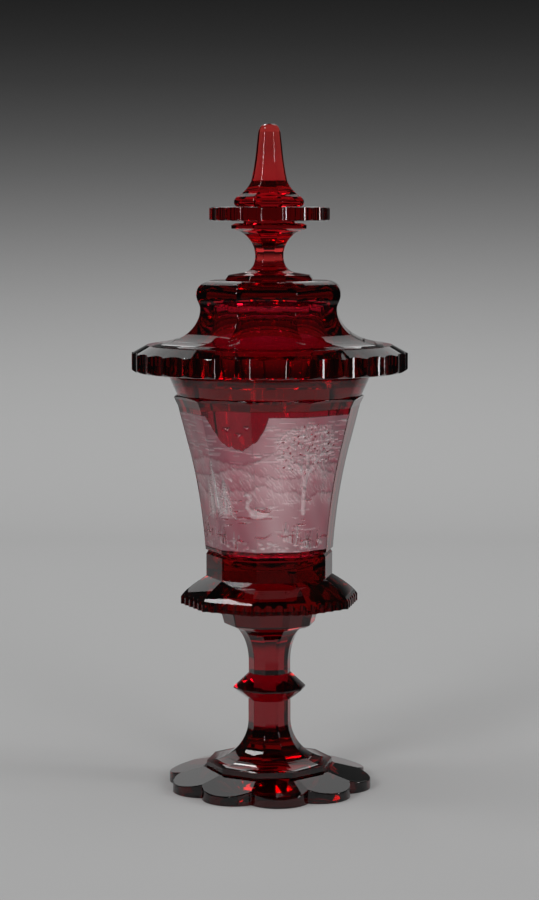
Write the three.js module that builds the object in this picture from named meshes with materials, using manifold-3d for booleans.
// Covered cup of ruby glass on a petalled foot, cut with ten facets, under an eight-sided cover.
// Millimetres, +Z up, origin under the centre of the foot; -Y is the front of the cup.
import * as THREE from "three";
import { mergeVertices } from "three/addons/utils/BufferGeometryUtils.js";
import Module from "manifold-3d";

const wasm = await Module();
wasm.setup();

// Cut of the cup and of the cover: number of sides, and the turn of one ridge from the front
const CUP_SIDES = 10;
const CUP_TURN = THREE.MathUtils.degToRad(24.6);
const COVER_SIDES = 8;
const COVER_TURN = THREE.MathUtils.degToRad(20.2);

// Fineness of the round forms
const ROUND_STEPS = 64;
const CAVITY_STEPS = 60;
const CURVE_STEPS = 7;
const SCALLOP_STEPS = 3;
const WELD = 1e-4;

// Foot: ten rounded petals whose flat tops slope down from the tier
const FOOT = { height: 11.7, rim: 5.5, slope: 0.26, reach: 66 };
const PETALS = { count: 10, middle: 62.3, corner: 54.8 };

// Lower stem: a ten-sided tier and a hollow flare up to the knop
const TIER = { foot: 39, top: 38.4, height: 15.2 };
const LOWER_STEM = { radius: 12.9, flareWidth: 25.6, flareHeight: 25, top: 52.9 };

// Knop: two cones that meet in a narrow girdle
const KNOP = { neck: 12.9, girdle: 22, girdleLow: 59.8, girdleHigh: 60.7, top: 69.3 };

// Upper stem: flares up to the collar
const UPPER_STEM = { radius: 12.7, flareStart: 76, flareWidth: 12.5, flareHeight: 22.8, top: 98.4 };

// Collar: a bevelled block between the stem and the skirt
const COLLAR = { foot: 24.6, bevel: 27.6, bevelTop: 99.9, top: 31, height: 112.3 };

// Skirt: a falling flange with a fluted lower edge
const SKIRT = { edge: 54, edgeTop: 116.6, shoulder: 51, shoulderTop: 121.8, top: 129.2, neck: 38.4 };
const EDGE_FLUTES = { perSide: 5, radius: 3.4, depth: 1.2, sides: 14, over: 8 };

// Bowl: ten-sided outside, round lip and round inside
const BAND = { radius: 38.4, top: 142.6, grooveRadius: 37.4, grooveTop: 144.2 };
const BODY = { foot: 38.8, footTop: 145.4, waist: 41.7, waistTop: 182.5, chest: 49.4, chestTop: 210 };
const SHOULDER = { foot: 55.2, footTop: 232.4, ridge: 57.3, ridgeTop: 236.7, over: 66, overTop: 246 };
const LIP = { neck: 55.6, neckTop: 238.7, rim: 60.3, rimTop: 249.5, crown: 61, top: 252.3, round: 0.8 };
const CAVITY = {
  mouth: 54.9,
  ledge: 54.2,
  ledgeTop: 246,
  throat: 51,
  throatTop: 239.5,
  shoulder: 48.2,
  shoulderTop: 232,
  waist: 36.8,
  waistTop: 187,
  foot: 31.6,
  footTop: 148,
  floor: 133.5,
};

// Cover: a scalloped brim, an eight-sided bell and a hollow underside
const BRIM = { base: 252.6, edge: 264.2, inner: 74, innerTop: 268.6, over: 84.4 };
const BRIM_ROUND = { foot: 78.6, low: 4.6, high: 1, shoulder: 82 };
const BRIM_FLUTES = { count: 32, middle: 81.1, corner: 83.1 };
const BRIM_TURN = THREE.MathUtils.degToRad(3);
const BELL = { hem: 74, hemTop: 268.9, flare: 53, waist: 44.1, waistTop: 291.5, brow: 46.7, browTop: 300 };
const BELL_CURVE = { hemLift: 1.6, waistDrop: 9, browOut: 0.4, browDrop: 4 };
const BELL_TOP = { edge: 40.5, height: 306.8 };
const HOLLOW = { mouth: 48, throat: 36.5, throatTop: 283, brow: 37.2, browTop: 292 };
const HOLLOW_TOP = { crown: 30, height: 298.4 };
const SEAT = { outer: 53.9, outerFoot: 53.2, inner: 48, foot: 246.5, chamfer: 0.7 };

// Finial: base plate, neck, sharp plate, scalloped disc and spire
const BASE_PLATE = { foot: 27.6, low: 28, lowTop: 307.8, edge: 26, edgeTop: 310.5 };
const NECK_FOOT = { width: 16, height: 311.9, rise: 2 };
const NECK = { waist: 8.8, waistTop: 321.8, head: 16, top: 334.8, headDrop: 5 };
const SHARP_PLATE = { root: 19, rootTop: 336.6, edge: 24.2, edgeLow: 338, edgeTop: 340 };
const PLATE_CROWN = { brim: 21.5, brimTop: 341.2, neck: 16.5, neckTop: 341.4, top: 342.4 };
const DISC = { top: 350.8, over: 37 };
const DISC_ROUND = { foot: 31.5, low: 3.4, high: 1.6, crown: 34.6 };
const DISC_FLUTES = { count: 24, middle: 34.9, corner: 36.1 };
const DISC_TURN = THREE.MathUtils.degToRad(6.7);
const SPIRE = { foot: 20.6, hem: 22.4, hemTop: 353.6, shoulder: 11.4, shoulderTop: 365.4 };
const SPIRE_FLARE = { width: 13.8, height: 360.4 };
const SPIRE_SHANK = { width: 8.4, height: 377.4 };
const SPIRE_TIP = { radius: 6.9, radiusTop: 395.4, round: 5.9, roundTop: 399.4, crown: 2.6, height: 400 };

// Finishes: the thick glass of the cup looks deeper than the thin glass of the cover and the finial
const DEEP_RUBY = new THREE.MeshStandardMaterial({ color: 0x5a0612, roughness: 0.04, metalness: 0 });
const RUBY = new THREE.MeshStandardMaterial({ color: 0x8a0a1c, roughness: 0.04, metalness: 0 });
const LIGHT_RUBY = new THREE.MeshStandardMaterial({ color: 0xa82a26, roughness: 0.04, metalness: 0 });

// A closed geometry as a solid: shared corners become one vertex and flat slivers at a pole go
function solidOf(geometry) {
  const bare = geometry.clone();
  bare.deleteAttribute("normal");
  bare.deleteAttribute("uv");
  const welded = mergeVertices(bare, WELD);
  const corners = welded.index.array;
  const kept = [];
  for (let i = 0; i < corners.length; i += 3) {
    const [a, b, c] = corners.slice(i, i + 3);
    if (a !== b && b !== c && c !== a) kept.push(a, b, c);
  }
  return new wasm.Manifold(
    new wasm.Mesh({
      numProp: 3,
      vertProperties: welded.attributes.position.array,
      triVerts: new Uint32Array(kept),
    }),
  );
}

// A named mesh made from a solid
function meshOf(name, solid, material) {
  const made = solid.getMesh();
  const geometry = new THREE.BufferGeometry();
  geometry.setAttribute("position", new THREE.BufferAttribute(made.vertProperties, made.numProp));
  geometry.setIndex(new THREE.BufferAttribute(made.triVerts, 1));
  geometry.computeVertexNormals();
  const mesh = new THREE.Mesh(geometry, material);
  mesh.name = name;
  return mesh;
}

// A profile turned about +Z; the profile starts on the axis at the bottom and ends on it at the top
function turned(profile, steps, turn = 0) {
  const geometry = new THREE.LatheGeometry(profile.getPoints(CURVE_STEPS), steps, turn);
  return solidOf(geometry.rotateX(Math.PI / 2));
}

// The same profile cut flat on each side; its radii are those of the ridges
const cupCut = (profile) => turned(profile, CUP_SIDES, CUP_TURN);
const coverCut = (profile) => turned(profile, COVER_SIDES, COVER_TURN);

// Starts a profile on the axis and takes it straight out to a radius
function startAt(height, radius) {
  const profile = new THREE.Path();
  profile.moveTo(0, height);
  profile.lineTo(radius, height);
  return profile;
}

// An outline of equal arcs between corners: petals where the middle stands out, flutes where it lies in
function scallopedShape({ count, middle, corner }, turn) {
  const half = Math.PI / count;
  const chord = corner * Math.sin(half);
  const rise = middle - corner * Math.cos(half);
  const side = Math.sign(rise);
  const radius = (chord ** 2 + rise ** 2) / (2 * Math.abs(rise));
  const reach = middle - side * radius;
  const spread = side * Math.asin(chord / radius);
  const shape = new THREE.Shape();
  for (let k = 0; k < count; k += 1) {
    const angle = turn - Math.PI / 2 + 2 * half * k;
    const facing = side > 0 ? angle : angle + Math.PI;
    const x = reach * Math.cos(angle);
    const y = reach * Math.sin(angle);
    shape.absarc(x, y, radius, facing - spread, facing + spread, side < 0);
  }
  return shape;
}

// A scalloped outline raised from one height to another
function scallopedBlock(outline, turn, low, high) {
  const geometry = new THREE.ExtrudeGeometry(scallopedShape(outline, turn), {
    depth: high - low,
    bevelEnabled: false,
    curveSegments: SCALLOP_STEPS,
  });
  return solidOf(geometry.translate(0, 0, low));
}

// Foot: the petal slab, its top cut in ten planes that meet in ridges from the tier to the notches
function makeFoot() {
  const slab = scallopedBlock(PETALS, CUP_TURN + Math.PI / PETALS.count, 0, FOOT.height);
  const ridge = 1 / Math.cos(Math.PI / CUP_SIDES);
  const tierFace = TIER.foot / ridge;
  const crown = FOOT.rim + (PETALS.middle - tierFace) * FOOT.slope;
  const edge = FOOT.rim - (FOOT.reach - PETALS.middle) * FOOT.slope;
  const planes = startAt(0, FOOT.reach * ridge);
  planes.lineTo(FOOT.reach * ridge, edge);
  planes.lineTo(TIER.foot, crown);
  planes.lineTo(0, crown);
  return slab.intersect(cupCut(planes));
}

// Lower stem: the tier, then a hollow flare that rises into the straight shank
function makeLowerStem() {
  const { radius, flareWidth, flareHeight, top } = LOWER_STEM;
  const profile = startAt(FOOT.height, TIER.foot);
  profile.lineTo(TIER.top, TIER.height);
  const centre = TIER.height + flareHeight;
  profile.absellipse(radius + flareWidth, centre, flareWidth, flareHeight, -Math.PI / 2, -Math.PI, true);
  profile.lineTo(radius, top);
  profile.lineTo(0, top);
  return cupCut(profile);
}

// Knop: a double cone with a narrow girdle
function makeKnop() {
  const profile = startAt(LOWER_STEM.top, KNOP.neck);
  profile.lineTo(KNOP.girdle, KNOP.girdleLow);
  profile.lineTo(KNOP.girdle, KNOP.girdleHigh);
  profile.lineTo(UPPER_STEM.radius, KNOP.top);
  profile.lineTo(0, KNOP.top);
  return cupCut(profile);
}

// Upper stem: a straight shank that flares out below the collar
function makeUpperStem() {
  const { radius, flareStart, flareWidth, flareHeight, top } = UPPER_STEM;
  const end = Math.asin((top - flareStart) / flareHeight);
  const profile = startAt(KNOP.top, radius);
  profile.lineTo(radius, flareStart);
  profile.absellipse(radius + flareWidth, flareStart, flareWidth, flareHeight, Math.PI, Math.PI - end, true);
  profile.lineTo(0, top);
  return cupCut(profile);
}

// Collar: a bevelled block that widens towards the skirt
function makeCollar() {
  const profile = startAt(UPPER_STEM.top, COLLAR.foot);
  profile.lineTo(COLLAR.bevel, COLLAR.bevelTop);
  profile.lineTo(COLLAR.top, COLLAR.height);
  profile.lineTo(0, COLLAR.height);
  return cupCut(profile);
}

// Skirt: ten bulging sides that fall from the bowl to an upright edge
function makeSkirt() {
  const profile = startAt(COLLAR.height, SKIRT.edge);
  profile.lineTo(SKIRT.edge, SKIRT.edgeTop);
  profile.quadraticCurveTo(SKIRT.shoulder, SKIRT.shoulderTop, SKIRT.neck, SKIRT.top);
  profile.lineTo(0, SKIRT.top);
  return edgeFlutes().reduce((block, flute) => block.subtract(flute), cupCut(profile));
}

// Upright cutters spaced along each side of the skirt, so that a tooth stands on every ridge
function edgeFlutes() {
  const { perSide, radius, depth, sides, over } = EDGE_FLUTES;
  const face = SKIRT.edge * Math.cos(Math.PI / CUP_SIDES);
  const sideLength = 2 * SKIRT.edge * Math.sin(Math.PI / CUP_SIDES);
  const cutters = [];
  for (let side = 0; side < CUP_SIDES; side += 1) {
    const turn = CUP_TURN + ((side + 0.5) * 2 * Math.PI) / CUP_SIDES;
    for (let k = 0; k < perSide; k += 1) {
      const along = ((k + 0.5) / perSide - 0.5) * sideLength;
      const cutter = new THREE.CylinderGeometry(radius, radius, SKIRT.edgeTop - COLLAR.height + over, sides);
      cutter.rotateX(Math.PI / 2);
      cutter.translate(along, -(face + radius - depth), (SKIRT.edgeTop + COLLAR.height) / 2);
      cutters.push(solidOf(cutter.rotateZ(turn)));
    }
  }
  return cutters;
}

// Bowl: a round blank cut to ten sides up to the shoulder, so that each side ends in an arch
function makeBowl() {
  return bowlBlank().intersect(bowlCut()).subtract(bowlCavity());
}

// Ten-sided outside of the bowl: base band, groove, flaring body and shoulder
function bowlCut() {
  const profile = startAt(SKIRT.top, BAND.radius);
  profile.lineTo(BAND.radius, BAND.top);
  profile.lineTo(BAND.grooveRadius, BAND.grooveTop);
  profile.lineTo(BODY.foot, BODY.footTop);
  profile.quadraticCurveTo(BODY.waist, BODY.waistTop, BODY.chest, BODY.chestTop);
  profile.lineTo(SHOULDER.foot, SHOULDER.footTop);
  profile.lineTo(SHOULDER.ridge, SHOULDER.ridgeTop);
  profile.lineTo(SHOULDER.over, SHOULDER.overTop);
  profile.lineTo(SHOULDER.over, LIP.top);
  profile.lineTo(0, LIP.top);
  return cupCut(profile);
}

// Round outside of the bowl: it shows only at the lip and the edge of the shoulder
function bowlBlank() {
  const profile = startAt(SKIRT.top, SHOULDER.ridge);
  profile.lineTo(SHOULDER.ridge, (SHOULDER.ridgeTop + LIP.neckTop) / 2);
  profile.lineTo(LIP.neck, LIP.neckTop);
  profile.lineTo(LIP.rim, LIP.rimTop);
  profile.quadraticCurveTo(LIP.crown, LIP.top - LIP.round, LIP.rim, LIP.top);
  profile.lineTo(0, LIP.top);
  return turned(profile, ROUND_STEPS);
}

// Round inside of the bowl, open at the top
function bowlCavity() {
  const profile = new THREE.Path();
  profile.moveTo(0, CAVITY.floor);
  profile.quadraticCurveTo(CAVITY.foot, CAVITY.floor, CAVITY.foot, CAVITY.footTop);
  profile.quadraticCurveTo(CAVITY.waist, CAVITY.waistTop, CAVITY.shoulder, CAVITY.shoulderTop);
  profile.lineTo(CAVITY.throat, CAVITY.throatTop);
  profile.lineTo(CAVITY.ledge, CAVITY.ledgeTop);
  profile.lineTo(CAVITY.mouth, LIP.top);
  profile.lineTo(CAVITY.mouth, BRIM.edge);
  profile.lineTo(0, BRIM.edge);
  return turned(profile, CAVITY_STEPS);
}

// Cover: the scalloped brim and the eight-sided bell as one shell
function makeCoverShell() {
  return brim().add(bell()).subtract(coverHollow());
}

// Brim: a fluted block trimmed by a round blank with a soft lower edge and a top that rises inwards
function brim() {
  const profile = startAt(BRIM.base, BRIM_ROUND.foot);
  profile.quadraticCurveTo(BRIM_FLUTES.corner, BRIM.base, BRIM.over, BRIM.base + BRIM_ROUND.low);
  profile.lineTo(BRIM.over, BRIM.edge - BRIM_ROUND.high);
  profile.lineTo(BRIM_ROUND.shoulder, BRIM.edge);
  profile.lineTo(BRIM.inner, BRIM.innerTop);
  profile.lineTo(0, BRIM.innerTop);
  const fluted = scallopedBlock(BRIM_FLUTES, BRIM_TURN, BRIM.base, BRIM.innerTop);
  return fluted.intersect(turned(profile, ROUND_STEPS, BRIM_TURN));
}

// Bell: a concave flare, a waist and a rounded brow under a flat top
function bell() {
  const profile = startAt(BRIM.base, BELL.hem);
  profile.lineTo(BELL.hem, BELL.hemTop);
  const { hemLift, waistDrop, browOut, browDrop } = BELL_CURVE;
  const hemControl = BELL.hemTop + hemLift;
  const waistControl = BELL.waistTop - waistDrop;
  profile.bezierCurveTo(BELL.flare, hemControl, BELL.waist, waistControl, BELL.waist, BELL.waistTop);
  profile.quadraticCurveTo(BELL.waist + browOut, BELL.browTop - browDrop, BELL.brow, BELL.browTop);
  profile.quadraticCurveTo(BELL.brow, BELL_TOP.height, BELL_TOP.edge, BELL_TOP.height);
  profile.lineTo(0, BELL_TOP.height);
  return coverCut(profile);
}

// Hollow underside of the cover, open at the bottom
function coverHollow() {
  const profile = startAt(SEAT.foot, HOLLOW.mouth);
  profile.lineTo(HOLLOW.mouth, BRIM.base);
  profile.quadraticCurveTo(HOLLOW.throat, BRIM.innerTop, HOLLOW.throat, HOLLOW.throatTop);
  profile.lineTo(HOLLOW.brow, HOLLOW.browTop);
  profile.quadraticCurveTo(HOLLOW.brow, HOLLOW_TOP.height, HOLLOW_TOP.crown, HOLLOW_TOP.height);
  profile.lineTo(0, HOLLOW_TOP.height);
  return turned(profile, CAVITY_STEPS);
}

// Seat ring: hangs under the brim into the mouth of the bowl and centres the cover
function makeSeatRing() {
  const profile = new THREE.Path();
  profile.moveTo(SEAT.inner, SEAT.foot);
  profile.lineTo(SEAT.outerFoot - SEAT.chamfer, SEAT.foot);
  profile.lineTo(SEAT.outerFoot, SEAT.foot + SEAT.chamfer);
  profile.lineTo(SEAT.outer, BRIM.base);
  profile.lineTo(SEAT.inner, BRIM.base);
  profile.lineTo(SEAT.inner, SEAT.foot);
  return turned(profile, ROUND_STEPS);
}

// Finial neck: a base plate with a hollow-cut neck above it
function makeFinialNeck() {
  const profile = startAt(BELL_TOP.height, BASE_PLATE.foot);
  profile.lineTo(BASE_PLATE.low, BASE_PLATE.lowTop);
  profile.lineTo(BASE_PLATE.edge, BASE_PLATE.edgeTop);
  profile.lineTo(NECK_FOOT.width, NECK_FOOT.height);
  profile.quadraticCurveTo(NECK.waist, NECK_FOOT.height + NECK_FOOT.rise, NECK.waist, NECK.waistTop);
  profile.quadraticCurveTo(NECK.waist, NECK.top - NECK.headDrop, NECK.head, NECK.top);
  profile.lineTo(0, NECK.top);
  return coverCut(profile);
}

// Sharp plate: the neck spreads to a thin edge under the disc
function makeSharpPlate() {
  const profile = startAt(NECK.top, NECK.head);
  profile.lineTo(SHARP_PLATE.root, SHARP_PLATE.rootTop);
  profile.lineTo(SHARP_PLATE.edge, SHARP_PLATE.edgeLow);
  profile.lineTo(SHARP_PLATE.edge, SHARP_PLATE.edgeTop);
  profile.lineTo(PLATE_CROWN.brim, PLATE_CROWN.brimTop);
  profile.lineTo(PLATE_CROWN.neck, PLATE_CROWN.neckTop);
  profile.lineTo(PLATE_CROWN.neck, PLATE_CROWN.top);
  profile.lineTo(0, PLATE_CROWN.top);
  return coverCut(profile);
}

// Disc: a round of upright flutes trimmed by a round blank with soft edges
function makeDisc() {
  const low = PLATE_CROWN.top;
  const profile = startAt(low, DISC_ROUND.foot);
  profile.quadraticCurveTo(DISC.over, low, DISC.over, low + DISC_ROUND.low);
  profile.lineTo(DISC.over, DISC.top - DISC_ROUND.high);
  profile.quadraticCurveTo(DISC.over, DISC.top, DISC_ROUND.crown, DISC.top);
  profile.lineTo(0, DISC.top);
  const fluted = scallopedBlock(DISC_FLUTES, DISC_TURN, low, DISC.top);
  return fluted.intersect(turned(profile, ROUND_STEPS, DISC_TURN));
}

// Spire: a spread foot that draws up to a blunt tip
function makeSpire() {
  const profile = startAt(DISC.top, SPIRE.foot);
  profile.lineTo(SPIRE.hem, SPIRE.hemTop);
  profile.quadraticCurveTo(SPIRE_FLARE.width, SPIRE_FLARE.height, SPIRE.shoulder, SPIRE.shoulderTop);
  profile.quadraticCurveTo(SPIRE_SHANK.width, SPIRE_SHANK.height, SPIRE_TIP.radius, SPIRE_TIP.radiusTop);
  profile.quadraticCurveTo(SPIRE_TIP.round, SPIRE_TIP.roundTop, SPIRE_TIP.crown, SPIRE_TIP.height);
  profile.lineTo(0, SPIRE_TIP.height);
  return coverCut(profile);
}

const cup = new THREE.Group();
cup.add(
  meshOf("foot", makeFoot(), DEEP_RUBY),
  meshOf("lower_stem", makeLowerStem(), RUBY),
  meshOf("stem_knop", makeKnop(), RUBY),
  meshOf("upper_stem", makeUpperStem(), RUBY),
  meshOf("collar", makeCollar(), RUBY),
  meshOf("skirt", makeSkirt(), DEEP_RUBY),
  meshOf("bowl", makeBowl(), RUBY),
);

const cover = new THREE.Group();
cover.add(
  meshOf("cover_shell", makeCoverShell(), RUBY),
  meshOf("cover_seat_ring", makeSeatRing(), RUBY),
  meshOf("finial_neck", makeFinialNeck(), LIGHT_RUBY),
  meshOf("finial_plate", makeSharpPlate(), LIGHT_RUBY),
  meshOf("finial_disc", makeDisc(), LIGHT_RUBY),
  meshOf("finial_spire", makeSpire(), LIGHT_RUBY),
);

const coveredCup = new THREE.Group();
coveredCup.add(cup, cover);
export default coveredCup;
